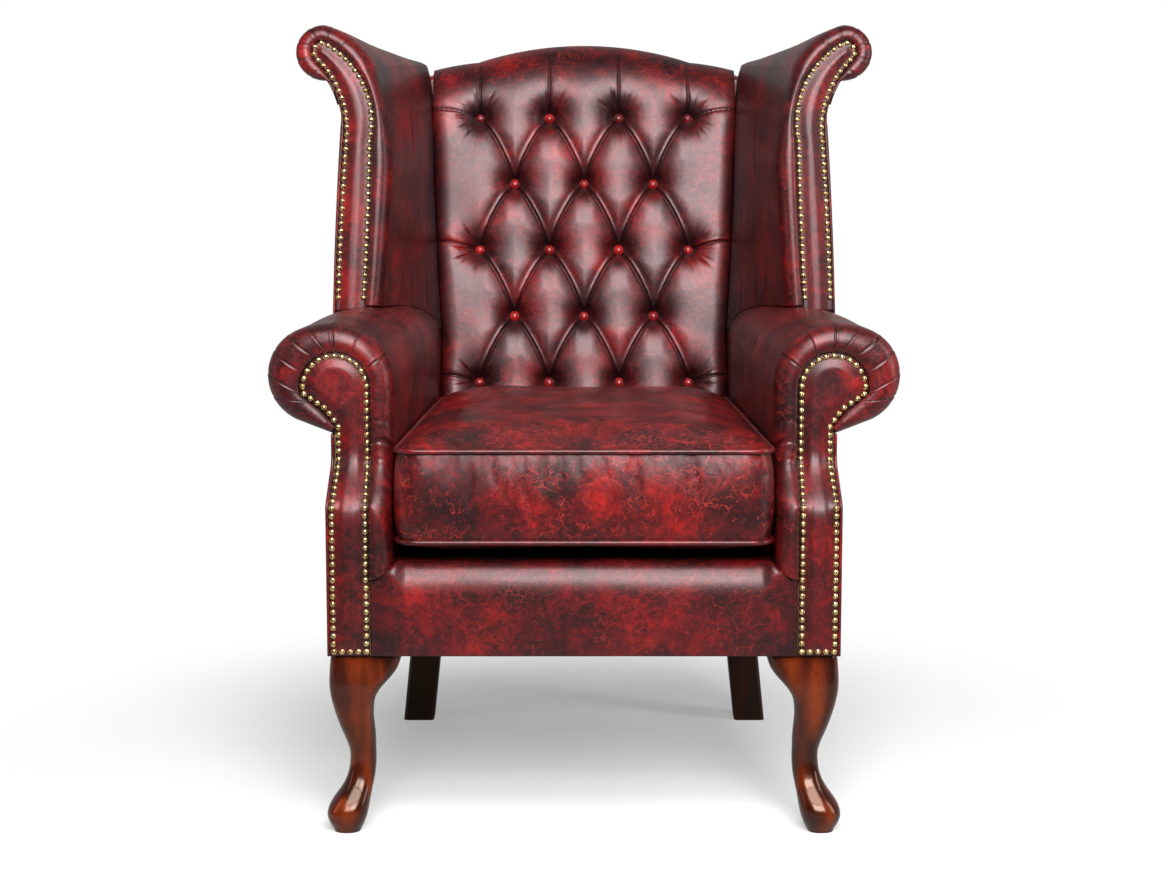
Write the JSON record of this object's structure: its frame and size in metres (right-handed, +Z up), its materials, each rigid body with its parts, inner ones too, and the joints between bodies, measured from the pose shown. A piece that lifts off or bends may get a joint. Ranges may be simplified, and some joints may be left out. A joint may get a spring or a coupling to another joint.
{
  "type": "wing armchair",
  "caption": "High-backed wing armchair in antiqued leather: deep-buttoned back, scrolled wings, rolled nailed arms, loose piped seat cushion, cabriole front legs.",
  "frame": {"origin": "on the floor, under the middle of the chair's overall box", "axes": "+Z up, +X to the right as seen from the front, the sitter looks along -Y"},
  "size_m": [0.815, 0.8021, 1.0511],
  "materials": {
    "leather": "antiqued, waxed",
    "leather_facing": "antiqued, waxed",
    "leather_piping": "antiqued, waxed",
    "polished_wood": "french polished",
    "frame_timber": "sawn",
    "brass_nails": "antiqued",
    "spring_steel": "plain",
    "hessian": "woven",
    "dust_cloth": "non-woven",
    "cushion_filling": "foam in a wadding wrap"
  },
  "bodies": {
    "chair": {"arm_facing_left": "leather_facing", "arm_facing_right": "leather_facing", "arm_nails_left": "brass_nails", "arm_nails_right": "brass_nails", "arm_outside_panel_left": "leather", "arm_outside_panel_right": "leather", "arm_pad_left": "leather", "arm_pad_right": "leather", "arm_stump_left": "frame_timber", "arm_stump_right": "frame_timber", "arm_tacking_rail_left": "frame_timber", "arm_tacking_rail_right": "frame_timber", "arm_top_rail_left": "frame_timber", "arm_top_rail_right": "frame_timber", "back_buttons": "leather", "back_outside_panel": "leather", "back_pad": "leather", "back_post_left": "frame_timber", "back_post_right": "frame_timber", "back_tacking_rail": "frame_timber", "back_webbing": "hessian", "corner_blocks": "frame_timber", "crest_rail": "frame_timber", "dust_cover": "dust_cloth", "front_border": "leather", "front_leg_left": "polished_wood", "front_leg_right": "polished_wood", "front_seat_rail": "frame_timber", "leg_bolts": "spring_steel", "rear_leg_left": "polished_wood", "rear_leg_right": "polished_wood", "rear_seat_rail": "frame_timber", "seat_platform": "leather", "seat_springs": "spring_steel", "side_seat_rail_left": "frame_timber", "side_seat_rail_right": "frame_timber", "spring_clips": "spring_steel", "spring_hessian": "hessian", "wing_facing_left": "leather_facing", "wing_facing_right": "leather_facing", "wing_nails_left": "brass_nails", "wing_nails_right": "brass_nails", "wing_outside_panel_left": "leather", "wing_outside_panel_right": "leather", "wing_pad_left": "leather", "wing_pad_right": "leather", "wing_post_left": "frame_timber", "wing_post_right": "frame_timber", "wing_top_rail_left": "frame_timber", "wing_top_rail_right": "frame_timber"},
    "seat_cushion": {"cushion_core": "cushion_filling", "cushion_cover": "leather", "cushion_welt_low": "leather_piping", "cushion_welt_top": "leather_piping"}
  },
  "joints": [
    {"name": "cushion_lift", "type": "slide", "parent": "chair", "child": "seat_cushion", "axis": [0, 0, 1], "range_m": [0, 0.72]}
  ]
}
